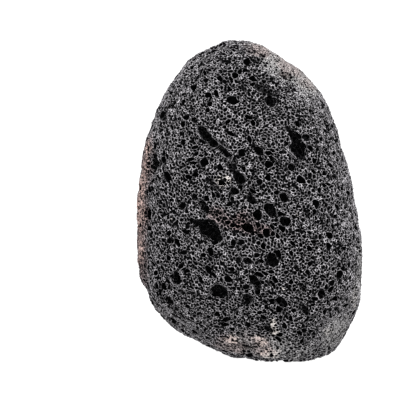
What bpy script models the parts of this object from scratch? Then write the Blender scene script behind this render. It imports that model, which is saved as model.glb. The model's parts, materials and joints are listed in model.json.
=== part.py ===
"""Lava rock: one water-worn pebble of bubbly basalt, standing on its flat end.

The stone is one piece. Its two broad faces look along -Y (the front) and +Y (the back), its small end is up,
and it stands on z = 0 with the origin under the middle of its box. Its form is a pillow: an outline in the XZ
plane, closed by a domed front and a domed back. Worn facets are pressed into that form, the foot is cut flat,
and the large gas bubbles that the wear has opened are carved out of it. The bubbles are stretched the way the
lava flowed.
"""

import math
import random

import bmesh
import bpy
from mathutils import Matrix, Vector, noise
from mathutils.bvhtree import BVHTree

MM = 0.001

# The form. The outline is seen from the front and measured from the middle of the stone, in millimetres,
# every 15 degrees counter-clockwise from +X.
MIDDLE_HEIGHT = 50 * MM
OUTLINE_MM = (
    36.0, 35.7, 36.3, 40.3, 45.1, 48.9, 52.8, 52.2, 46.9, 41.8, 38.0, 35.2,
    35.4, 37.1, 40.8, 44.6, 47.9, 49.4, 53.1, 57.1, 58.2, 52.2, 44.5, 39.6,
)  # fmt: skip
FRONT_DEPTH = 24.5 * MM
BACK_DEPTH = 23.5 * MM
SQUARENESS = 2.35  # exponent of the cross-sections: 2 is an ellipse, more is boxier
THICKER_TO_THE_RIGHT = 0.12  # share that the depth gains from the middle to the right edge
THICKER_TO_THE_FOOT = 0.13  # share that the depth gains from the middle to the foot

# Low lumps left by uneven wear, as (size of a lump, height).
LUMPS = ((24 * MM, 1.1 * MM), (10 * MM, 0.45 * MM))

# Facets that wear has pressed into the form: a point on each, its outward direction, and how softly it fades.
FACETS = (
    ("shoulder", (16.8, -9.2, 88.9), (0.62, -0.45, 0.64), 1.6),
    ("left_side", (-34.2, -6.0, 54.0), (-0.93, -0.36, 0.06), 1.0),
    ("lower_right", (33.1, -12.2, 18.3), (0.72, -0.52, -0.45), 1.6),
    ("lower_left", (-23.0, -12.5, 14.5), (-0.56, -0.45, -0.70), 1.6),
    ("back_high", (-7.0, 21.3, 68.0), (-0.22, 0.93, 0.30), 2.0),
    ("back_low", (14.0, 23.0, 30.0), (0.34, 0.92, -0.18), 2.0),
    ("back_left", (-27.0, 14.0, 36.0), (-0.72, 0.66, -0.20), 1.6),
)

FORM_SUBDIVISIONS = 5
TRIANGLES = 9600

# Bubbles. The lava flowed down to the right, seen from the front.
FLOW = Vector((0.74, 0.0, -0.67))
SEED = 71

# The open bubbles of the front are placed in a view from a little above: EYE looks at a plane through
# VIEW_FOOT, on which x is to the right and z goes along VIEW_UP.
EYE = Vector((-12.4, -614.0, 133.7)) * MM
VIEW_FOOT = Vector((0.1, -6.9, -1.7)) * MM
VIEW_UP = Vector((0.0, 0.139, 0.990))
VIEW_SCALE = 1.03  # how many millimetres on that plane one of the table's covers

# Each is given in millimetres as x, z, length, width, depth, and the turn of the length in degrees
# counter-clockwise from +X.
FRONT_BUBBLES = (
    (-12.9, 41.8, 9.6, 6.4, 5.0, -42), (-16.0, 43.6, 5.2, 3.2, 2.6, -25), (-14.9, 49.9, 6.4, 2.4, 2.6, -52),
    (-18.0, 52.4, 3.0, 2.3, 2.6, -30), (-14.8, 72.6, 6.6, 3.4, 3.2, -38), (-9.6, 68.2, 11.2, 2.2, 2.8, -40),
    (-12.2, 70.2, 5.0, 2.7, 2.8, -40), (13.7, 72.6, 6.6, 3.1, 2.8, -66), (15.9, 67.6, 7.8, 5.0, 3.6, -50),
    (13.5, 62.2, 3.0, 2.6, 2.4, -30), (15.6, 76.0, 3.0, 1.9, 1.8, -30), (-10.3, 22.3, 6.2, 4.8, 3.8, -10),
    (6.9, 32.8, 5.4, 4.0, 3.2, -62), (1.5, 25.3, 6.4, 2.6, 2.6, -60), (-0.8, 42.8, 4.4, 3.1, 3.4, -25),
    (2.4, 46.7, 3.8, 3.0, 3.4, -40), (6.6, 48.2, 5.6, 3.5, 2.8, -56), (11.2, 45.0, 3.5, 2.9, 3.0, -20),
    (11.0, 52.4, 4.0, 3.0, 3.0, -72), (-23.7, 26.9, 5.0, 3.6, 3.2, -75), (-26.4, 19.2, 4.0, 3.2, 3.2, -35),
    (-22.3, 22.2, 2.8, 2.3, 1.6, 0), (-31.4, 63.0, 8.0, 4.4, 3.6, -86), (-32.9, 47.7, 4.2, 3.4, 3.4, -75),
    (-21.9, 49.8, 4.0, 2.8, 2.8, 43), (9.9, 18.8, 4.8, 3.6, 2.8, -50), (-4.0, 58.4, 4.8, 2.2, 2.4, -50),
    (-5.0, 54.6, 2.9, 2.4, 2.4, -20), (0.3, 52.0, 4.6, 2.6, 1.8, -30), (16.9, 23.6, 4.2, 2.4, 1.9, -60),
    (17.0, 17.0, 4.8, 2.3, 1.6, -60), (14.6, 30.1, 3.1, 1.9, 2.0, -60), (23.1, 21.5, 3.6, 2.4, 1.8, -70),
    (-1.2, 19.5, 5.2, 3.7, 1.8, -80), (-0.8, 32.3, 3.2, 2.4, 2.4, -20), (-3.2, 38.2, 3.0, 2.6, 1.5, -60),
    (-25.5, 38.7, 3.0, 2.6, 1.6, 0), (-7.5, 13.5, 3.4, 2.2, 2.2, 25), (-1.2, 4.6, 5.0, 2.8, 2.4, 4),
    (28.4, 56.0, 3.6, 2.0, 1.8, -55), (20.0, 80.0, 2.6, 2.0, 2.0, -80), (6.4, 83.4, 3.0, 2.2, 2.2, -55),
    (-20.6, 78.2, 2.6, 2.0, 2.2, 0), (-25.0, 82.0, 4.4, 2.1, 2.0, 30), (1.8, 96.4, 3.2, 1.8, 1.8, -15),
    (2.7, 67.0, 3.2, 2.4, 2.0, -40), (7.3, 64.6, 5.0, 1.9, 1.8, -45), (17.3, 9.9, 3.0, 1.6, 1.8, -45),
)  # fmt: skip

# The bubbles of the sides, the back and between those above are scattered.
SCATTERED_TRIES = 900
SCATTERED_MOST = 190
SMALLEST_BUBBLE = 1.9 * MM
LARGEST_BUBBLE = 7.5 * MM
LARGEST_IN_FRONT = 2.6 * MM  # the larger ones of the front are all in FRONT_BUBBLES
FACING_FRONT = -0.5  # the stone faces front where its outward direction has less than this along +Y
SMALL_ONES_PREVAIL = 3.2  # power that draws sizes towards the smallest
WIDTH_SHARE = (0.55, 0.85)
DEPTH_SHARE = (0.50, 0.75)
WALL_BETWEEN = 0.6 * MM
FLOW_SPREAD = 26  # degrees
SUNK = 0.12  # how far a bubble's middle lies under the surface, as a share of its depth
BUBBLE_SUBDIVISIONS = 2
UNEVEN = 0.26  # how far a bubble's wall strays from an ellipsoid
DENT_SIZE = 0.77  # how wide those strays are, as a share of the bubble's radius
FOOT_RIM = 4 * MM  # no bubble is scattered lower than this, so that the foot stays whole

STONE_COLOUR = (0.085, 0.083, 0.088, 1.0)
STONE_ROUGHNESS = 0.92


def clear_scene():
    for obj in list(bpy.data.objects):
        bpy.data.objects.remove(obj)


def new_collection(name):
    collection = bpy.data.collections.new(name)
    bpy.context.scene.collection.children.link(collection)
    return collection


def outline_radius(angle):
    """Distance from the middle to the outline at an angle, on a smooth closed curve through OUTLINE_MM."""
    place = angle / math.tau * len(OUTLINE_MM)
    step = math.floor(place)
    t = place - step
    a, b, c, d = (OUTLINE_MM[(step + k) % len(OUTLINE_MM)] for k in (-1, 0, 1, 2))
    curve = b + 0.5 * t * (c - a + t * (2 * a - 5 * b + 4 * c - d + t * (3 * (b - c) + d - a)))
    return curve * MM


def on_pillow(unit):
    """The point of the plain form that a point of the unit sphere becomes."""
    across = math.hypot(unit.x, unit.z)
    power = 2 / SQUARENESS
    angle = math.atan2(unit.z, unit.x)
    radius = outline_radius(angle) * across**power
    x, z = radius * math.cos(angle), radius * math.sin(angle)
    depth = FRONT_DEPTH if unit.y < 0 else BACK_DEPTH
    depth *= 1 + THICKER_TO_THE_RIGHT * x / outline_radius(0) - THICKER_TO_THE_FOOT * z / MIDDLE_HEIGHT
    return Vector((x, math.copysign(depth * abs(unit.y) ** power, unit.y), z + MIDDLE_HEIGHT))


def pressed(point, on_facet, outward, softness):
    """The point pushed back onto a facet where it stands proud of it, with a soft edge."""
    proud = (point - on_facet).dot(outward)
    if proud <= -softness:
        return point
    excess = proud if proud >= softness else (proud + softness) ** 2 / (4 * softness)
    return point - outward * excess


def lump(point):
    """How far the lumps raise the surface at a point."""
    return sum(height * noise.noise(point / size) for size, height in LUMPS)


def box_middle(form, axis):
    ends = [vertex.co[axis] for vertex in form.verts]
    return (min(ends) + max(ends)) / 2


def make_form():
    """The stone before any bubble is opened, as a bmesh."""
    form = bmesh.new()
    bmesh.ops.create_icosphere(form, subdivisions=FORM_SUBDIVISIONS, radius=1)
    for vertex in form.verts:
        unit = vertex.co.normalized()
        point = on_pillow(unit)
        vertex.co = point + unit * lump(point)
    for _, place, direction, softness in FACETS:
        on_facet = Vector(place) * MM
        outward = Vector(direction).normalized()
        for vertex in form.verts:
            vertex.co = pressed(vertex.co, on_facet, outward, softness * MM)
    cut = bmesh.ops.bisect_plane(
        form, geom=form.verts[:] + form.edges[:] + form.faces[:], plane_co=(0, 0, 0), plane_no=(0, 0, 1),
        clear_inner=True,
    )  # fmt: skip
    rim = [piece for piece in cut["geom_cut"] if isinstance(piece, bmesh.types.BMEdge)]
    bmesh.ops.contextual_create(form, geom=rim)
    bmesh.ops.recalc_face_normals(form, faces=form.faces)
    bmesh.ops.translate(form, verts=form.verts, vec=(-box_middle(form, 0), -box_middle(form, 1), 0))
    return form


def add_bubble(cutters, place, outward, along, length, width, depth):
    """One bubble as a closed, slightly uneven ellipsoid, sunk a little under the surface."""
    across = outward.cross(along).normalized()
    along = across.cross(outward)
    axes = Matrix((along * length / 2, across * width / 2, outward * depth)).transposed()
    centre = place - outward * depth * SUNK
    bubble = bmesh.new()
    bmesh.ops.create_icosphere(bubble, subdivisions=BUBBLE_SUBDIVISIONS, radius=1)
    for vertex in bubble.verts:
        stray = 1 + UNEVEN * noise.noise(vertex.co / DENT_SIZE + centre / MM)
        vertex.co = centre + axes @ (vertex.co * stray)
    mesh = bpy.data.meshes.new("bubble")
    bubble.to_mesh(mesh)
    bubble.free()
    cutter = bpy.data.objects.new("bubble", mesh)
    cutter.hide_render = True
    cutter.display_type = "WIRE"
    cutters.objects.link(cutter)


def open_front_bubbles(cutters, form):
    """The bubbles of FRONT_BUBBLES. Returns the place and the half length of each."""
    opened = []
    for x, z, length, width, depth, turn in FRONT_BUBBLES:
        in_view = VIEW_FOOT + (Vector((x, 0, 0)) + VIEW_UP * z) * VIEW_SCALE * MM
        place, outward, _, _ = form.ray_cast(EYE, (in_view - EYE).normalized())
        if place is None:
            continue
        along = Vector((math.cos(math.radians(turn)), 0, math.sin(math.radians(turn))))
        along -= outward * along.dot(outward)
        add_bubble(cutters, place, outward, along.normalized(), length * MM, width * MM, depth * MM)
        opened.append((place, length * MM / 2))
    return opened


def scatter_bubbles(cutters, form, opened):
    """Bubbles of mixed sizes all over the stone, clear of those that are already open."""
    draw = random.Random(SEED)
    middle = Vector((0, 0, MIDDLE_HEIGHT))
    made = 0
    for _ in range(SCATTERED_TRIES):
        direction = Vector([draw.gauss(0, 1) for _ in range(3)]).normalized()
        share = draw.random() ** SMALL_ONES_PREVAIL
        length = SMALLEST_BUBBLE + (LARGEST_BUBBLE - SMALLEST_BUBBLE) * share
        width = length * draw.uniform(*WIDTH_SHARE)
        depth = width * draw.uniform(*DEPTH_SHARE)
        swing = math.radians(draw.uniform(-FLOW_SPREAD, FLOW_SPREAD))
        place, outward, _, _ = form.ray_cast(middle + direction, -direction)
        if place is None or place.z < FOOT_RIM or made == SCATTERED_MOST:
            continue
        if outward.y < FACING_FRONT and length > LARGEST_IN_FRONT:
            continue
        if any((place - other).length < length / 2 + reach + WALL_BETWEEN for other, reach in opened):
            continue
        along = FLOW - outward * FLOW.dot(outward)
        along.rotate(Matrix.Rotation(swing, 3, outward))
        add_bubble(cutters, place, outward, along.normalized(), length, width, depth)
        opened.append((place, length / 2))
        made += 1


def stone_material():
    material = bpy.data.materials.new("vesicular_basalt")
    material.use_nodes = True
    shader = material.node_tree.nodes["Principled BSDF"]
    shader.inputs["Base Color"].default_value = STONE_COLOUR
    shader.inputs["Roughness"].default_value = STONE_ROUGHNESS
    shader.inputs["Metallic"].default_value = 0.0
    return material


def main():
    clear_scene()
    parts = new_collection("lava_rock")
    cutters = new_collection("open_bubbles")

    form = make_form()
    surface = BVHTree.FromBMesh(form)
    mesh = bpy.data.meshes.new("lava_rock")
    form.to_mesh(mesh)
    form.free()
    mesh.materials.append(stone_material())
    stone = bpy.data.objects.new("lava_rock", mesh)
    parts.objects.link(stone)

    opened = open_front_bubbles(cutters, surface)
    scatter_bubbles(cutters, surface, opened)

    carve = stone.modifiers.new("open_bubbles", "BOOLEAN")
    carve.operation = "DIFFERENCE"
    carve.operand_type = "COLLECTION"
    carve.collection = cutters
    carve.solver = "EXACT"

    bpy.context.view_layer.update()
    carved = stone.evaluated_get(bpy.context.evaluated_depsgraph_get()).data
    carved.calc_loop_triangles()
    lighten = stone.modifiers.new("even_faces", "DECIMATE")
    lighten.ratio = min(1.0, TRIANGLES / len(carved.loop_triangles))


main()
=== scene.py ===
"""Lava rock: the finished stone, its bubbly surface and the stage it is shown on.

The stone starts as a copy of the solid. Its skin is laid out in uneven cells, stretched the way the lava
flowed, and a bubble is opened in most of them, so that what is left in between is the thin walls of the lava.
Where the stone is worn or crusted with pale mineral, fewer bubbles are open, and worn ones are shallow.
"""

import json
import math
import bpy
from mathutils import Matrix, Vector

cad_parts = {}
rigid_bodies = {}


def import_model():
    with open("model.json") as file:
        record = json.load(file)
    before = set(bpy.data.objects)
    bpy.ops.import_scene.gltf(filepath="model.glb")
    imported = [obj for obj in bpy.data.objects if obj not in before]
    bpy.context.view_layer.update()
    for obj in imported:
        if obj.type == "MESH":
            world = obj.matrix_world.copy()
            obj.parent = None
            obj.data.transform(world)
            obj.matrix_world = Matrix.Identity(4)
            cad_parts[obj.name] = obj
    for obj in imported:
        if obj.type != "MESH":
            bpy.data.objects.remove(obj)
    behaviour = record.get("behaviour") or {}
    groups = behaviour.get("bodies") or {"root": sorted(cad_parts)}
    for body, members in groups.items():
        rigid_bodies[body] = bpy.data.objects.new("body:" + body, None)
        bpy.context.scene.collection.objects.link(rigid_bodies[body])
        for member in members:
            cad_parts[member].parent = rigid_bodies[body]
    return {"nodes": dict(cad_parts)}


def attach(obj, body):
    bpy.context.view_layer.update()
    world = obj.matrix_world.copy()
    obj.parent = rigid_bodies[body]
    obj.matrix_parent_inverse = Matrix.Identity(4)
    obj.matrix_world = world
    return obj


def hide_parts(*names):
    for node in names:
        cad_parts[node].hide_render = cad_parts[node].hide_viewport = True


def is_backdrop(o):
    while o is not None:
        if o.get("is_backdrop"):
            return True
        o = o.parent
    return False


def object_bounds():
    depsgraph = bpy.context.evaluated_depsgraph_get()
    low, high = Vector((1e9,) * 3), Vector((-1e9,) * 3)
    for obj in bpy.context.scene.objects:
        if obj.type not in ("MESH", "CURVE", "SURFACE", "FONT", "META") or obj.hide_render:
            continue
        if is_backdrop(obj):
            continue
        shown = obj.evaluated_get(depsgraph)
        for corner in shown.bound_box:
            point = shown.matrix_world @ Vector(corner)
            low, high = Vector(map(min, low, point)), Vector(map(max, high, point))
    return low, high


bl_info = {
    "name": "Lava rock",
    "version": (1, 0, 0),
    "blender": (4, 5, 0),
    "location": "View3D > Sidebar > Lava rock",
    "description": "Models a pebble of bubbly basalt and the stage it stands on",
    "category": "Add Mesh",
}

import bpy
import numpy as np
from bpy.props import FloatProperty, FloatVectorProperty, IntProperty, PointerProperty
from mathutils import Matrix, Vector, noise
from mathutils.bvhtree import BVHTree

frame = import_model()

MM = 0.001
NODE = "lava_rock"
PIECE = "bubbly_stone"
FLOW = Vector((0.74, 0.0, -0.67)).normalized()  # down to the right, seen from the front
FLOW_TURN = math.radians(132)  # the same way, as a turn about Y from straight up

# Patches of the skin that differ from the rest: a middle and three half widths in millimetres, and a
# strength. Worn ones are rubbed down and grey.
WORN = (
    ((3.5, -5.0, 100.5), (5.5, 8.0, 3.5), 0.8),
    ((8.5, -6.0, 96.5), (6.5, 9.0, 5.5), 0.85),
    ((14.0, -6.0, 93.0), (7.0, 10.0, 5.5), 0.9),
    ((19.5, -5.0, 90.0), (6.5, 10.0, 4.5), 0.9),
    ((-36.0, -5.0, 69.0), (3.6, 8.0, 9.0), 0.4),
    ((-36.5, -5.0, 56.0), (4.2, 9.0, 9.0), 0.5),
    ((-36.0, -4.0, 39.0), (3.4, 8.0, 12.0), 0.4),
    ((34.5, -6.0, 27.0), (3.5, 8.0, 12.0), 0.6),
    ((28.0, -9.0, 9.0), (6.5, 9.0, 6.5), 0.7),
    ((-4.5, -16.0, 6.2), (6.5, 8.0, 4.5), 0.7),
    ((5.0, -17.0, 6.2), (8.0, 8.0, 5.0), 0.7),
    ((14.0, -16.0, 4.7), (6.0, 8.0, 4.0), 0.5),
)
# Sunken ones lie a little lower and are more open, so that the painted shade of the hollows darkens them.
SUNKEN = (
    ((0.6, -14.0, 94.6), (2.0, 8.0, 2.4), 0.6),
    ((2.6, -16.0, 90.8), (2.0, 8.0, 2.6), 0.8),
    ((4.4, -17.0, 87.2), (2.1, 8.0, 2.6), 0.8),
    ((5.9, -18.0, 83.6), (2.0, 8.0, 2.4), 0.7),
    ((14.7, -22.0, 71.9), (1.8, 6.0, 3.0), 1.1),
    ((-6.0, -24.0, 65.0), (1.6, 6.0, 2.4), 0.8),
    ((-3.2, -24.0, 60.6), (1.6, 6.0, 2.6), 0.8),
    ((-17.8, -24.0, 45.4), (2.0, 6.0, 3.0), 1.1),
    ((15.2, -22.0, 36.0), (1.4, 6.0, 2.2), 0.8),
    ((17.4, -21.5, 32.0), (1.4, 6.0, 2.2), 0.8),
    ((16.2, -20.0, 22.8), (1.4, 6.0, 2.2), 0.8),
    ((18.4, -19.5, 18.8), (1.4, 6.0, 2.2), 0.8),
)
# Pink ones are tinted by rust.
PINK = (
    ((2.5, -5.0, 100.0), (5.0, 8.0, 3.0), 0.5),
    ((13.0, -3.0, 95.0), (7.0, 9.0, 4.0), 0.4),
    ((20.0, -3.0, 90.0), (5.0, 9.0, 4.0), 0.3),
    ((-36.2, -7.0, 62.0), (4.4, 7.0, 15.0), 0.9),
    ((-36.6, -4.5, 47.0), (4.4, 9.5, 10.0), 0.9),
    ((-36.0, -6.0, 36.0), (4.0, 6.0, 11.0), 0.85),
    ((-6.5, -14.0, 6.7), (5.5, 8.0, 4.5), 0.5),
    ((2.5, -15.0, 7.7), (5.5, 8.0, 5.5), 0.45),
    ((-9.2, -22.0, 49.4), (3.6, 8.0, 2.6), 0.65),
    ((-4.2, -22.0, 47.5), (5.0, 8.0, 3.2), 0.9),
    ((2.5, -22.0, 45.4), (4.5, 8.0, 2.8), 0.75),
)
# Pale ones are crusted with cream or white mineral.
PALE = (
    ((-6.3, -14.0, 8.3), (3.4, 8.0, 1.8), 1.05),
    ((2.2, -15.0, 9.0), (3.6, 8.0, 2.4), 1.1),
    ((6.5, -15.0, 4.4), (3.8, 8.0, 2.4), 1.0),
    ((7.3, -17.0, 14.4), (1.1, 6.0, 1.9), 2.0),
    ((7.8, -17.0, 11.6), (1.4, 6.0, 1.5), 2.0),
    ((-8.4, -24.0, 59.8), (3.2, 6.0, 2.6), 0.95),
    ((-25.2, -18.0, 47.0), (0.5, 9.0, 0.5), 1.4),
    ((14.4, -24.0, 49.4), (0.45, 9.0, 0.45), 1.4),
    ((10.3, -24.0, 47.1), (0.45, 9.0, 0.45), 1.4),
    ((10.1, -24.0, 26.2), (0.45, 9.0, 0.45), 1.4),
    ((0.7, -20.0, 78.1), (0.45, 9.0, 0.45), 1.4),
    ((18.5, -16.0, 82.5), (0.4, 9.0, 0.4), 1.3),
    ((-12.9, -24.0, 43.4), (0.4, 9.0, 0.4), 1.3),
    ((-9.2, -24.0, 34.8), (0.7, 9.0, 0.35), 1.3),
    ((24.0, -10.0, 10.7), (5.5, 8.0, 3.0), 0.6),
    ((34.0, -8.0, 21.0), (2.5, 8.0, 10.0), 0.6),
    ((-35.2, -8.0, 67.0), (3.4, 4.6, 7.0), 0.9),
    ((-36.2, -6.5, 57.5), (3.4, 6.4, 8.0), 0.95),
    ((-36.8, -4.5, 47.0), (3.2, 7.6, 7.0), 0.95),
    ((-36.8, -7.0, 36.0), (2.6, 4.6, 8.0), 0.9),
)
PATCH_FADE = 0.4  # share of its half widths over which a patch fades, on both sides of its outline
LONG_WAVE, LONG_STRAY = 7.0, 2.5  # millimetres: long waves in that outline, and how far they stray
SHORT_WAVE = 2.0  # millimetres: short waves, which stray 1 mm
SMALL_PATCH = 3.0  # millimetres: a half width below which a patch strays less

# The skin that the cells are laid on.
VOXEL = 0.5 * MM
FORM_ROUNDS = 120  # rounds of smoothing that take the bubbles out of the form
SAME_PLACE = 0.01 * MM
CELL_STRAY = 0.4 * MM  # how far the corners are shaken, so that the cells come out uneven
SIDEWAYS = 0.2  # share of that which isn't straight in or out
EVENING_ROUNDS = 3  # rounds of smoothing after it

# Low lumps of the skin in millimetres: how large, how many times longer along the flow, and how high.
LUMPS = ((4.5, 1.0, 0.8), (2.4, 4.0, 0.9))
SUNKEN_DEPTH = 0.8  # millimetres
BROKEN_SIZE = 1.5 * MM  # stretches of wall that are broken down together
BROKEN_DEPTH = 0.35  # millimetres
BROKEN_MEAN, BROKEN_SPREAD = -0.09, 0.15  # the same for each corner by itself
WALL_STRAY = 0.12 * MM
WORN_LEVEL = 0.75  # share by which full wear levels all of this

# Bubbles that take more than one cell: how many cells each takes, and how many there are.
BUBBLES = ((12, 8), (9, 30), (7, 70), (5, 130), (4, 300), (3, 900), (2, 4600))
RAGGED_GROWTH = (0.4, 1.6)  # how unevenly such a bubble takes the cells around it
ALWAYS_OPEN = 1.25  # radius against the usual one from which a bubble is always open,
WITH_RIM = 1.9  # and from which it has a rim and goes down into the stone

# Small bubbles and closed cells.
STEEPNESS = (0.4, 2.6)  # depth against width, which wear makes less and a sunken patch more
WORN_SHALLOWER, SUNKEN_STEEPER = 0.6, 0.5
PIT_STEPS = (0.4, 0.7, 1.0, 1.4, 1.9)
LEAST_STEP = 3  # step of PIT_STEPS, counted from 1, that a bubble of more than one cell has at least
WORN_CLOSED, PALE_CLOSED, SUNKEN_OPEN = 0.3, 0.4, 0.2  # shares of cells
GRAINS = (-0.35, -0.2, 0.0, 0.25)  # depth against width of a closed cell, which may also stand proud

# Bubbles with a rim.
RIMMED = 100  # their kinds start here: ten times the wall and once the depth are added to it
LIP = 0.14 * MM
LIP_SLOPE = 0.5  # fall of the lip against its width
WALLS = (0.05 * MM, 0.10 * MM, 0.16 * MM)
WALL_SHARES = (0.4, 0.75)  # where the next thicker wall starts
DEPTHS = (0.6 * MM, 0.9 * MM, 1.3 * MM, 1.8 * MM)
DEEPER = (0.9, 2.0)  # how deep a bubble is against its radius
DEPTH_STARTS = (0.8 * MM, 1.1 * MM, 1.5 * MM)  # where the next of DEPTHS starts
BOTTOM = 0.4  # depth of the round bottom against its width

# What the material reads for its painted shade: how deep in a bubble, and how low in a hollow of the form.
FULL_DEPTH = 0.6 * MM
HOLLOW_FROM, HOLLOW_OVER = 0.5, 0.9  # millimetres

# The material: its surface and the sizes of its patterns,
ROUGHNESS, SHINE = 0.82, 0.05
GRAIN = 0.36 * MM
PORE = 0.62 * MM
RIDGE = 0.75 * MM
BLOTCH = 2.5 * MM
BUMP = 0.12 * MM
LONGER, RIDGES_LONGER = 1.4, 6.0  # along the flow
# what makes a grain of the wall light,
GRAIN_LIGHT, FINE_LIGHT, EVEN_LIGHT = 0.75, 1.6, 0.12
# painted shade: grains below the walls' tops are made darker, those on the tops a little lighter
SHADE_BELOW_RIM, ON_RIM = -0.75, 0.2  # added below the walls' tops and on them
# and the values at which each blend starts and ends.
RIM_SPAN = (0.2, 0.9)
PATCH_SPAN = (0.0, 0.4)
PALE_SPAN = (0.55, 1.0)
FRESH_SPAN = (0.88, 1.78)
WORN_SPAN = (0.6, 1.8)
PORE_SPAN = (0.25, 0.36)
DEPTH_SPAN = (0.08, 0.35)
RIDGE_SPAN = (0.48, 0.60)
SHADE_SPAN = (0.0, 0.8)
PORES_FILLED = 0.12  # by wear
PORE_HEIGHT = 1.5
# A hollow is shaded this much, but for what its grains and ridges catch of the light.
FULL_SHADE, DARKEST = 1.5, 0.96
GRAIN_CAUGHT, RIDGE_CAUGHT = 0.4, 0.45

# The sheet on which the skin is laid flat: how far apart its sides start, and what is left free round them.
SIDE_GAP = 0.2
SHEET_MARGIN = 0.004

# The stage, with its lengths in metres.
FLOOR_RADIUS = 12.0
FLOOR_SIDES = 96
FLOOR_GREY, FLOOR_ROUGHNESS = 0.2, 0.7
LAMP_PLACE = (0.12, -0.25, 0.62)
LAMP_AIM = (0.0, 0.0, 0.05)
LAMP_WIDTH, LAMP_DEPTH = 0.35, 0.25
PICTURE_WIDTH = 1.3290  # against the stone's height
AIM_SIDE, AIM_UP = -0.0130, -0.0038  # where the camera looks, from the middle of the stone
FAR = 50  # the camera sees no further


class LavaBubbles(bpy.types.PropertyGroup):
    """How the bubbly skin is laid out"""

    cells: IntProperty(
        name="Cells",
        description="How many small cells the whole skin has",
        default=32500,
    )
    stretch: FloatProperty(
        name="Flow stretch",
        description="How much longer a bubble is along the flow than across it",
        default=1.22,
    )
    solid: FloatProperty(
        name="Solid share",
        description="Share of the cells that are not open",
        default=0.2,
    )
    seed: IntProperty(
        name="Seed",
        description="Number that the random layout starts from",
        default=5,
    )


class LavaFinish(bpy.types.PropertyGroup):
    """Colours of the stone"""

    wall: FloatVectorProperty(
        name="Walls",
        description="Light grains of the walls",
        subtype="COLOR",
        default=(0.52, 0.502, 0.525),
    )
    wall_dark: FloatVectorProperty(
        name="Dark walls",
        description="Dark grains of the walls",
        subtype="COLOR",
        default=(0.013, 0.013, 0.015),
    )
    worn: FloatVectorProperty(
        name="Worn",
        description="Light grains where the stone is worn",
        subtype="COLOR",
        default=(0.44, 0.433, 0.429),
    )
    worn_dark: FloatVectorProperty(
        name="Dark worn",
        description="Dark grains where it is worn",
        subtype="COLOR",
        default=(0.10, 0.095, 0.095),
    )
    pink: FloatVectorProperty(
        name="Pink",
        description="Tint of the rusty patches",
        subtype="COLOR",
        default=(1.0, 0.76, 0.72),
    )
    pale: FloatVectorProperty(
        name="Pale",
        description="White and cream mineral",
        subtype="COLOR",
        default=(0.68, 0.635, 0.605),
    )
    # painted shade: partly the darker unworn glass, but mostly colour far darker than bare basalt, standing
    # in for the shade inside bubbles and tiny pores
    inside: FloatVectorProperty(
        name="Inside",
        description="Unworn inside of a bubble",
        subtype="COLOR",
        default=(0.003, 0.003, 0.0035),
    )


class LavaStage(bpy.types.PropertyGroup):
    """Floor, light and camera"""

    distance: FloatProperty(
        name="Camera distance",
        description="From the stone to the camera",
        default=0.62,
        unit="LENGTH",
    )
    height: FloatProperty(
        name="Camera height",
        description="Angle at which the camera looks down",
        default=math.radians(8),
        unit="ROTATION",
    )
    key: FloatProperty(
        name="Key light",
        description="Power of the light above the stone",
        default=5.0,
        unit="POWER",
    )
    sky: FloatProperty(
        name="Sky",
        description="Strength of the white surroundings",
        default=1.05,
    )
    glow: FloatProperty(
        name="Floor glow",
        description="How much the white floor shines by itself",
        default=1.0,
    )


# ---------------------------------------------------------------- helpers


def activate(piece):
    """Make this the only selected object and the active one."""
    if bpy.context.mode != "OBJECT":
        bpy.ops.object.mode_set(mode="OBJECT")
    bpy.ops.object.select_all(action="DESELECT")
    piece.select_set(True)
    bpy.context.view_layer.objects.active = piece


def finish_with(piece, kind, **settings):
    """Add a modifier with these settings and apply it."""
    modifier = piece.modifiers.new(kind.title(), kind)
    for name, value in settings.items():
        setattr(modifier, name, value)
    bpy.ops.object.modifier_apply(modifier=modifier.name)


def places(mesh):
    """The vertices of a mesh as an array of points."""
    found = np.empty(len(mesh.vertices) * 3, np.float32)
    mesh.vertices.foreach_get("co", found)
    return found.reshape(-1, 3).astype(float)


def put_places(mesh, points):
    """Move the vertices of a mesh to these points."""
    mesh.vertices.foreach_set("co", points.astype(np.float32).ravel())
    mesh.update()


def face_values(mesh, name, width=1, kind=np.float32):
    """One property of every face as an array."""
    found = np.empty(len(mesh.polygons) * width, kind)
    mesh.polygons.foreach_get(name, found)
    return found.reshape(-1, width) if width > 1 else found


def select_only(piece, kind, chosen):
    """Go to edit mode with exactly these faces or edges selected."""
    bpy.ops.object.mode_set(mode="OBJECT")
    bpy.context.tool_settings.mesh_select_mode = (False, kind == "edges", kind == "polygons")
    mesh = piece.data
    for items in (mesh.vertices, mesh.edges, mesh.polygons):
        items.foreach_set("select", np.zeros(len(items), bool))
    getattr(mesh, kind).foreach_set("select", chosen)
    bpy.ops.object.mode_set(mode="EDIT")


def put_values(mesh, name, values):
    """Store a number for each vertex, for the material to read."""
    mesh.attributes.new(name, "FLOAT", "POINT").data.foreach_set("value", values.astype(np.float32))


# ---------------------------------------------------------------- stone


def copy_of_solid(name):
    """A merged copy of a solid of the frame, selected and active."""
    solid = frame["nodes"][name]
    stone = solid.copy()
    stone.data = solid.data.copy()
    stone.name = stone.data.name = PIECE
    bpy.context.scene.collection.objects.link(stone)
    stone.parent = None
    stone.matrix_world = Matrix.Identity(4)
    activate(stone)
    bpy.ops.object.mode_set(mode="EDIT")
    bpy.ops.mesh.select_all(action="SELECT")
    bpy.ops.mesh.remove_doubles(threshold=SAME_PLACE)
    bpy.ops.object.mode_set(mode="OBJECT")
    return stone


def keep_outside(stone):
    """Drop the closed pockets that remeshing may leave inside the stone."""
    height = face_values(stone.data, "center", 3)[:, 2]
    select_only(stone, "polygons", np.arange(len(height)) == height.argmax())
    bpy.ops.mesh.select_linked()
    bpy.ops.mesh.select_all(action="INVERT")
    bpy.ops.mesh.delete(type="VERT")
    bpy.ops.object.mode_set(mode="OBJECT")


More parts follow.
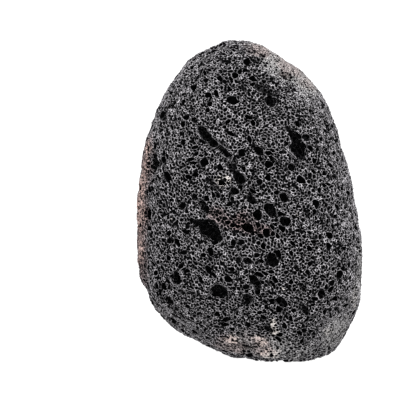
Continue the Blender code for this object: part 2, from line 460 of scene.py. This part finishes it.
def without_bubbles(stone):
    """The form of the stone with its bubbles smoothed away, to measure how low a place lies in a hollow."""
    smooth = stone.copy()
    smooth.data = stone.data.copy()
    bpy.context.scene.collection.objects.link(smooth)
    activate(smooth)
    finish_with(smooth, "SMOOTH", factor=1.0, iterations=FORM_ROUNDS)
    form = surface_of(smooth)
    bpy.data.objects.remove(smooth)
    activate(stone)
    return form


def lowness(form, points):
    """How far each point lies under a form, negative where it stands above it."""
    found = [form.find_nearest(point)[:2] for point in points]
    return np.array([(place - Vector(point)).dot(normal) for point, (place, normal) in zip(points, found)])


def stretched(mesh, share):
    """Stretch a mesh along the flow."""
    mesh.transform(Matrix.Scale(share, 4, FLOW))


def dual_cells():
    """A node group that turns each corner of a triangulated skin into a cell."""
    group = bpy.data.node_groups.new("cells", "GeometryNodeTree")
    group.interface.new_socket("Skin", in_out="INPUT", socket_type="NodeSocketGeometry")
    group.interface.new_socket("Cells", in_out="OUTPUT", socket_type="NodeSocketGeometry")
    skin = group.nodes.new("NodeGroupInput")
    dual = group.nodes.new("GeometryNodeDualMesh")
    cells = group.nodes.new("NodeGroupOutput")
    group.links.new(skin.outputs["Skin"], dual.inputs["Mesh"])
    group.links.new(dual.outputs["Dual Mesh"], cells.inputs["Cells"])
    return group


def lay_out_cells(stone, bubbles):
    """Cover the skin with small uneven cells."""
    stretched(stone.data, 1 / bubbles.stretch)
    bpy.ops.object.mode_set(mode="EDIT")
    bpy.ops.mesh.select_all(action="SELECT")
    bpy.ops.transform.vertex_random(offset=CELL_STRAY, uniform=SIDEWAYS, normal=1.0, seed=bubbles.seed)
    bpy.ops.mesh.quads_convert_to_tris()
    bpy.ops.mesh.select_all(action="DESELECT")  # the dual mesh would muddle a stored selection
    bpy.ops.object.mode_set(mode="OBJECT")
    finish_with(stone, "DECIMATE", ratio=2 * bubbles.cells / len(stone.data.polygons))
    finish_with(stone, "SMOOTH", factor=0.5, iterations=EVENING_ROUNDS)
    stretched(stone.data, bubbles.stretch)
    finish_with(stone, "NODES", node_group=dual_cells())


def neighbours(mesh):
    """For each face the faces that share a side with it, and for each edge its two faces."""
    sides = {}
    for face in mesh.polygons:
        for key in face.edge_keys:
            sides.setdefault(key, []).append(face.index)
    pairs = np.array([sides[edge.key] for edge in mesh.edges])
    beside = [[] for _ in mesh.polygons]
    for one, other in pairs:
        beside[one].append(other)
        beside[other].append(one)
    return beside, pairs


def grow_bubbles(stone, bubbles):
    """Join neighbouring cells into the larger bubbles, the largest first."""
    mesh = stone.data
    draw = np.random.default_rng(bubbles.seed)
    centre = face_values(mesh, "center", 3)
    worn = share_of(WORN, centre)
    beside, pairs = neighbours(mesh)
    owner = np.full(len(mesh.polygons), -1)
    flow = np.array(FLOW)
    for wanted, number in BUBBLES:
        for seed in draw.choice(len(owner), number, replace=False):
            if owner[seed] >= 0 or worn[seed] > draw.random():
                continue
            members = [seed]
            owner[seed] = seed
            while len(members) < wanted:
                free = {near for one in members for near in beside[one] if owner[near] < 0}
                if not free:
                    break
                free = np.array(sorted(free))
                away = centre[free] - centre[seed]
                along = away @ flow
                reach = (away**2).sum(1) - (1 - 1 / bubbles.stretch**2) * along**2
                reach *= draw.uniform(*RAGGED_GROWTH, len(free))
                best = free[reach.argmin()]
                owner[best] = seed
                members.append(best)
    select_only(stone, "edges", (owner[pairs[:, 0]] == owner[pairs[:, 1]]) & (owner[pairs[:, 0]] >= 0))
    bpy.ops.mesh.dissolve_edges(use_verts=True)
    bpy.ops.mesh.select_all(action="SELECT")
    bpy.ops.mesh.vertices_smooth(factor=0.5, repeat=1)
    bpy.ops.object.mode_set(mode="OBJECT")


def ragged(point):
    """How far the outline of a patch strays at a point."""
    return noise.noise_vector(point / LONG_WAVE) * LONG_STRAY + noise.noise_vector(point / SHORT_WAVE)


def share_of(patches, points):
    """How far each point lies in a patch with a ragged edge, from 0 outside to its strength well inside."""
    most = np.zeros(len(points))
    points = points / MM
    stray = np.array([ragged(Vector(point)) for point in points])
    for middle, half, strength in patches:
        half = np.array(half)
        here = points + stray * np.minimum(1, half / SMALL_PATCH)
        away = np.linalg.norm((here - np.array(middle)) / half, axis=1)
        share = np.clip((1 + PATCH_FADE - away) / (2 * PATCH_FADE), 0, 1)
        most = np.maximum(most, share * strength)
    return most


def vertex_normals(mesh):
    """The direction in which the skin faces at each vertex."""
    found = np.empty(len(mesh.vertices) * 3, np.float32)
    mesh.vertex_normals.foreach_get("vector", found)
    return found.reshape(-1, 3)


def clouds(spots, size, longer=1.0):
    """Soft noise at each point, about -0.5 to 0.5, whose lumps are of this size across the flow."""
    flow = np.array(FLOW)
    squeezed = spots - np.outer(spots @ flow, flow) * (1 - 1 / longer)
    return np.array([noise.noise(Vector(spot) / size) for spot in squeezed])


def lower(mesh, down):
    """Lower each vertex by its own distance, less where the stone is worn."""
    spots = places(mesh)
    down = np.clip(down, 0, None) * (1 - WORN_LEVEL * share_of(WORN, spots))
    put_places(mesh, spots - vertex_normals(mesh) * down[:, None])


def make_uneven(stone):
    """Give the skin its low lumps and its sunken patches."""
    mesh = stone.data
    for size, longer, height in LUMPS:
        lower(mesh, clouds(places(mesh), size * MM, longer) * height * MM)
    lower(mesh, share_of(SUNKEN, places(mesh)) * SUNKEN_DEPTH * MM)


def break_walls(stone, bubbles):
    """Break the walls down unevenly, so that their tops are ragged."""
    mesh = stone.data
    draw = np.random.default_rng(bubbles.seed + 2)
    single = draw.normal(BROKEN_MEAN, BROKEN_SPREAD, len(mesh.vertices))
    broken = clouds(places(mesh), BROKEN_SIZE) * BROKEN_DEPTH + single
    lower(mesh, broken * MM)
    bpy.ops.object.mode_set(mode="EDIT")
    bpy.ops.mesh.select_all(action="SELECT")
    bpy.ops.transform.vertex_random(offset=WALL_STRAY, uniform=1.0, normal=0.0, seed=bubbles.seed)
    bpy.ops.object.mode_set(mode="OBJECT")


def size_of(mesh):
    """For each face the radius of a disc of its area."""
    return np.sqrt(face_values(mesh, "area") / math.pi)


def inset_each(thickness, depth):
    """Inset each selected face by itself and sink it."""
    bpy.ops.mesh.inset(thickness=thickness, depth=-depth, use_individual=True, use_even_offset=False)


def kinds_of_cells(mesh, bubbles):
    """For each cell its shape: a step of PIT_STEPS, a grain as a negative number, or a bubble with a rim."""
    draw = np.random.default_rng(bubbles.seed + 1)
    size = size_of(mesh)
    count = len(size)
    centre = face_values(mesh, "center", 3)
    worn, pale, sunken = (share_of(patches, centre) for patches in (WORN, PALE, SUNKEN))
    joined = size > ALWAYS_OPEN * np.median(size)
    rimmed = joined & (size > WITH_RIM * np.median(size))
    steep = draw.uniform(*STEEPNESS, count) * (1 - WORN_SHALLOWER * worn + SUNKEN_STEEPER * sunken)
    pit = np.digitize(steep, PIT_STEPS)
    closed = bubbles.solid + WORN_CLOSED * worn + PALE_CLOSED * pale - SUNKEN_OPEN * sunken
    pit[draw.random(count) < closed] = 0
    pit = np.where(joined, np.maximum(pit, LEAST_STEP), pit)
    wall = np.digitize(draw.random(count), WALL_SHARES)
    down = np.digitize(size * draw.uniform(*DEEPER, count), DEPTH_STARTS)
    kind = np.where(rimmed, RIMMED + wall * 10 + down, pit)
    kind[kind == 0] = -1 - draw.integers(0, len(GRAINS), (kind == 0).sum())
    return kind


def open_bubbles(stone, bubbles):
    """Shape the cells, kind by kind. A cell that is done, and the faces that come from it, are of kind 0."""
    mesh = stone.data
    kinds = kinds_of_cells(mesh, bubbles)
    mesh.attributes.new("kind", "INT", "FACE").data.foreach_set("value", kinds.astype(np.int32))
    for number in np.unique(kinds):
        bpy.ops.object.mode_set(mode="OBJECT")
        now = np.empty(len(mesh.polygons), np.int32)
        mesh.attributes["kind"].data.foreach_get("value", now)
        left = np.where(now == number, 0, now).astype(np.int32)
        mesh.attributes["kind"].data.foreach_set("value", left)
        select_only(stone, "polygons", now == number)
        if number >= RIMMED:
            wall, down = divmod(number - RIMMED, 10)
            inset_each(LIP, LIP_SLOPE * LIP)
            inset_each(WALLS[wall], DEPTHS[down])
            depth = BOTTOM
        else:
            depth = PIT_STEPS[number - 1] if number > 0 else GRAINS[-1 - number]
        bpy.ops.mesh.poke(offset=-depth, use_relative_offset=True)
    bpy.ops.object.mode_set(mode="OBJECT")
    mesh.attributes.remove(mesh.attributes["kind"])


def lay_flat(stone, form):
    """A UV map of flat views of the form's six sides, for baking."""
    mesh = stone.data
    facing = np.array([form.find_nearest(Vector(spot))[1] for spot in face_values(mesh, "center", 3)])
    side = np.abs(facing).argmax(1)
    corners = face_values(mesh, "loop_total", kind=np.int32)
    corner_of = np.empty(len(mesh.loops), np.int32)
    mesh.loops.foreach_get("vertex_index", corner_of)
    spots = places(mesh)[corner_of]
    axis = np.repeat(side, corners)
    right, up = np.array([1, 0, 0])[axis], np.array([2, 2, 1])[axis]
    rows = np.arange(len(spots))
    outward = np.repeat(np.sign(facing[np.arange(len(side)), side]), corners)
    # each side has its own square of the sheet, so that no two sides touch before they are packed
    u = spots[rows, right] * outward + axis * SIDE_GAP
    v = spots[rows, up] + outward * SIDE_GAP
    layer = mesh.uv_layers.new(name="OFBake")
    layer.uv.foreach_set("vector", np.stack((u, v), 1).astype(np.float32).ravel())
    bpy.ops.object.mode_set(mode="EDIT")
    bpy.ops.mesh.select_all(action="SELECT")
    bpy.ops.uv.select_all(action="SELECT")
    bpy.ops.uv.pack_islands(rotate=True, margin=SHEET_MARGIN)
    bpy.ops.object.mode_set(mode="OBJECT")


def surface_of(piece):
    """The piece's surface as it is now, to measure from."""
    mesh = piece.data
    return BVHTree.FromPolygons([v.co for v in mesh.vertices], [list(f.vertices) for f in mesh.polygons])


def put_skin_values(mesh, walls, skin, form):
    """Store what the material reads: the walls, how deep and how low the skin lies, which set its painted
    shade, and the patches.
    """
    spots = places(mesh)
    put_values(mesh, "rim", np.arange(len(spots)) < walls)
    deep = np.array([skin.find_nearest(spot)[3] for spot in spots])
    put_values(mesh, "depth", np.clip(deep / FULL_DEPTH, 0, 1))
    low = lowness(form, spots) / MM
    put_values(mesh, "hollow", np.clip((low - HOLLOW_FROM) / HOLLOW_OVER, 0, 1))
    for name, patches in (("worn", WORN), ("pink", PINK), ("pale", PALE)):
        put_values(mesh, name, share_of(patches, spots))


def stone_finish(finish):
    """Bubbly basalt: grey worn walls, with painted shade black inside the bubbles and dark in the hollows."""
    material = bpy.data.materials.new("bubbly_basalt")
    material.use_nodes = True
    nodes, links = material.node_tree.nodes, material.node_tree.links
    shader = nodes["Principled BSDF"]
    shader.inputs["Roughness"].default_value = ROUGHNESS
    shader.inputs["Specular IOR Level"].default_value = SHINE
    place = nodes.new("ShaderNodeTexCoord").outputs["Object"]

    def along_flow(longer):
        """Places in a space that is turned to the flow, in which a pattern comes out longer along it."""
        turned = nodes.new("ShaderNodeMapping")
        turned.vector_type = "TEXTURE"
        turned.inputs["Rotation"].default_value = (0, FLOW_TURN, 0)
        turned.inputs["Scale"].default_value = (1, 1, longer)
        links.new(place, turned.inputs["Vector"])
        return turned.outputs["Vector"]

    skin = along_flow(LONGER)
    ridged = along_flow(RIDGES_LONGER)

    def attribute(name):
        """A number that the skin stores for each of its vertices."""
        node = nodes.new("ShaderNodeAttribute")
        node.attribute_name = name
        return node.outputs["Fac"]

    def ranged(value, low, high, to_low=0.0, to_high=1.0):
        """A value spread smoothly from one range over another."""
        node = nodes.new("ShaderNodeMapRange")
        node.interpolation_type = "SMOOTHSTEP"
        links.new(value, node.inputs["Value"])
        for name, number in (("From Min", low), ("From Max", high), ("To Min", to_low), ("To Max", to_high)):
            node.inputs[name].default_value = number
        return node.outputs["Result"]

    def speckle(size, detail=3.0, space=skin):
        """Soft noise of this size."""
        node = nodes.new("ShaderNodeTexNoise")
        node.inputs["Scale"].default_value = 1 / size
        node.inputs["Detail"].default_value = detail
        links.new(space, node.inputs["Vector"])
        return node.outputs["Fac"]

    def mixed(share, one, other, way="MIX"):
        """Two colours mixed, each a colour or a socket."""
        node = nodes.new("ShaderNodeMix")
        node.data_type = "RGBA"
        node.blend_type = way
        for name, value in (("Factor", share), ("A", one), ("B", other)):
            if isinstance(value, bpy.types.NodeSocket):
                links.new(value, node.inputs[name])
            elif name == "Factor":
                node.inputs[name].default_value = value
            else:
                node.inputs[name].default_value = (*value, 1)
        return node.outputs["Result"]

    def grains(size, output="Color"):
        """Small cells of this size, each with a colour of its own and with the distance to its middle."""
        node = nodes.new("ShaderNodeTexVoronoi")
        node.inputs["Scale"].default_value = 1 / size
        links.new(skin, node.inputs["Vector"])
        return node.outputs[output]

    def sum_of(one, other, way="ADD"):
        """Two numbers added, or put together in another way."""
        node = nodes.new("ShaderNodeMath")
        node.operation = way
        for value, socket in ((one, node.inputs[0]), (other, node.inputs[1])):
            if isinstance(value, bpy.types.NodeSocket):
                links.new(value, socket)
            else:
                socket.default_value = value
        return node.outputs["Value"]

    def patch(name):
        """How far a patch reaches here, with its outline broken up by blotches."""
        reach = ranged(sum_of(attribute(name), blotches), *PATCH_SPAN)
        return sum_of(attribute(name), reach, "MULTIPLY")

    # how light each grain is: lighter on the walls' tops, with painted shade below them, down into the pits
    separate = nodes.new("ShaderNodeSeparateColor")
    links.new(grains(GRAIN), separate.inputs["Color"])
    grain = separate.outputs["Red"]
    fine = speckle(GRAIN)
    light = sum_of(sum_of(grain, GRAIN_LIGHT, "MULTIPLY"), EVEN_LIGHT)
    light = sum_of(light, sum_of(fine, FINE_LIGHT, "MULTIPLY"))
    light = sum_of(light, ranged(attribute("rim"), *RIM_SPAN, SHADE_BELOW_RIM, ON_RIM))

    # the walls, worn, pale and pink in patches
    blotches = sum_of(speckle(BLOTCH), -0.5)
    worn = patch("worn")
    pink = patch("pink")
    pale = ranged(sum_of(attribute("pale"), sum_of(grain, 0.5), "MULTIPLY"), *PALE_SPAN)
    fresh_wall = mixed(ranged(light, *FRESH_SPAN), finish.wall_dark, finish.wall)
    worn_wall = mixed(ranged(light, *WORN_SPAN), finish.worn_dark, finish.worn)
    wall = mixed(worn, fresh_wall, worn_wall)
    wall = mixed(pale, wall, finish.pale)
    wall = mixed(pink, wall, mixed(1.0, wall, finish.pink, "MULTIPLY"))

    # pores too small to model, painted as dark spots of shade, fewer where it is worn
    filled = sum_of(worn, PORES_FILLED, "MULTIPLY")
    pores = ranged(sum_of(grains(PORE, "Distance"), filled), *PORE_SPAN)
    wall = mixed(pores, finish.inside, wall)

    # painted shade: dark inside the bubbles, and in hollows but for grains and ridges that catch the light
    colour = mixed(ranged(attribute("depth"), *DEPTH_SPAN), wall, finish.inside)
    ridges = ranged(speckle(RIDGE, 1.0, ridged), *RIDGE_SPAN, 0.0, RIDGE_CAUGHT)
    caught = sum_of(sum_of(grain, GRAIN_CAUGHT, "MULTIPLY"), ridges)
    shade = sum_of(attribute("hollow"), sum_of(FULL_SHADE, caught, "SUBTRACT"), "MULTIPLY")
    colour = mixed(ranged(shade, *SHADE_SPAN, 0.0, DARKEST), colour, finish.inside)
    links.new(colour, shader.inputs["Base Color"])

    bump = nodes.new("ShaderNodeBump")
    bump.inputs["Strength"].default_value = 1.0
    bump.inputs["Distance"].default_value = BUMP
    links.new(sum_of(sum_of(pores, PORE_HEIGHT, "MULTIPLY"), light), bump.inputs["Height"])
    links.new(bump.outputs["Normal"], shader.inputs["Normal"])
    return material


class LAVA_OT_stone(bpy.types.Operator):
    """Model the bubbly stone over the solid"""

    bl_idname = "lava_rock.stone"
    bl_label = "Model the stone"

    def execute(self, context):
        bubbles, finish = context.scene.lava_bubbles, context.scene.lava_finish
        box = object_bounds()
        noise.seed_set(bubbles.seed)  # without it noise_vector gives other values each second
        stone = copy_of_solid(NODE)
        finish_with(stone, "REMESH", mode="VOXEL", voxel_size=VOXEL)
        keep_outside(stone)
        form = without_bubbles(stone)
        lay_out_cells(stone, bubbles)
        grow_bubbles(stone, bubbles)
        solid = frame["nodes"][NODE]
        finish_with(stone, "SHRINKWRAP", target=solid, wrap_method="NEAREST_SURFACEPOINT")
        make_uneven(stone)
        skin = surface_of(stone)
        break_walls(stone, bubbles)
        lay_flat(stone, form)
        walls = len(stone.data.vertices)
        open_bubbles(stone, bubbles)
        put_places(stone.data, np.clip(places(stone.data), *box))
        put_skin_values(stone.data, walls, skin, form)
        stone.data.materials.clear()
        stone.data.materials.append(stone_finish(finish))
        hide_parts(NODE)
        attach(stone, "root")
        return {"FINISHED"}


# ---------------------------------------------------------------- stage


class LAVA_OT_stage(bpy.types.Operator):
    """Set up the floor, the light and the camera"""

    bl_idname = "lava_rock.stage"
    bl_label = "Set up the stage"

    def execute(self, context):
        stage = context.scene.lava_stage
        scene = context.scene
        scene.view_settings.view_transform = "Standard"
        world = bpy.data.worlds.new("white_room")
        world.use_nodes = True
        background = world.node_tree.nodes["Background"]
        background.inputs["Color"].default_value = (1, 1, 1, 1)
        background.inputs["Strength"].default_value = stage.sky
        scene.world = world

        bpy.ops.object.select_all(action="DESELECT")
        bpy.ops.mesh.primitive_circle_add(vertices=FLOOR_SIDES, radius=FLOOR_RADIUS, fill_type="NGON")
        floor = context.object
        floor.name = "floor"
        white = bpy.data.materials.new("white_floor")
        white.use_nodes = True
        paint = white.node_tree.nodes["Principled BSDF"].inputs
        paint["Base Color"].default_value = (FLOOR_GREY, FLOOR_GREY, FLOOR_GREY, 1)
        paint["Emission Color"].default_value = (1, 1, 1, 1)
        paint["Emission Strength"].default_value = stage.glow
        paint["Roughness"].default_value = FLOOR_ROUGHNESS
        floor.data.materials.append(white)
        floor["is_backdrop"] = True

        light = bpy.data.lights.new("key", "AREA")
        light.shape = "RECTANGLE"
        light.size = LAMP_WIDTH
        light.size_y = LAMP_DEPTH
        light.energy = stage.key
        lamp = bpy.data.objects.new("key", light)
        scene.collection.objects.link(lamp)
        lamp.location = LAMP_PLACE
        lamp.rotation_euler = (Vector(LAMP_AIM) - lamp.location).to_track_quat("-Z", "Y").to_euler()

        camera = bpy.data.objects.new("camera", bpy.data.cameras.new("camera"))
        scene.collection.objects.link(camera)
        low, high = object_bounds()
        middle = (Vector(low) + Vector(high)) / 2
        target = Vector((AIM_SIDE, 0, middle.z + AIM_UP))
        back = Vector((0, -math.cos(stage.height), math.sin(stage.height)))
        camera.location = target + back * stage.distance
        camera.rotation_euler = (math.radians(90) - stage.height, 0, 0)
        picture = PICTURE_WIDTH * (high[2] - low[2])
        camera.data.lens = camera.data.sensor_width * stage.distance / picture
        camera.data.clip_end = FAR
        scene.camera = camera
        return {"FINISHED"}


class LAVA_PT_panel(bpy.types.Panel):
    """Buttons that build the stone and its stage"""

    bl_label = "Lava rock"
    bl_idname = "LAVA_PT_panel"
    bl_space_type = "VIEW_3D"
    bl_region_type = "UI"
    bl_category = "Lava rock"

    def draw(self, context):
        scene = context.scene
        for group in (scene.lava_bubbles, scene.lava_finish, scene.lava_stage):
            box = self.layout.box()
            for name in group.__annotations__:
                box.prop(group, name)
        self.layout.operator(LAVA_OT_stone.bl_idname)
        self.layout.operator(LAVA_OT_stage.bl_idname)


CLASSES = (LavaBubbles, LavaFinish, LavaStage, LAVA_OT_stone, LAVA_OT_stage, LAVA_PT_panel)


def register():
    """Make the properties, the operators and the panel known."""
    for kind in CLASSES:
        bpy.utils.register_class(kind)
    bpy.types.Scene.lava_bubbles = PointerProperty(type=LavaBubbles)
    bpy.types.Scene.lava_finish = PointerProperty(type=LavaFinish)
    bpy.types.Scene.lava_stage = PointerProperty(type=LavaStage)


def unregister():
    """Take them away again."""
    del bpy.types.Scene.lava_stage
    del bpy.types.Scene.lava_finish
    del bpy.types.Scene.lava_bubbles
    for kind in reversed(CLASSES):
        bpy.utils.unregister_class(kind)


def main():
    """Build everything in order."""
    register()
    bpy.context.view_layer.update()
    bpy.ops.lava_rock.stone()
    bpy.ops.lava_rock.stage()


if __name__ == "__main__":
    main()
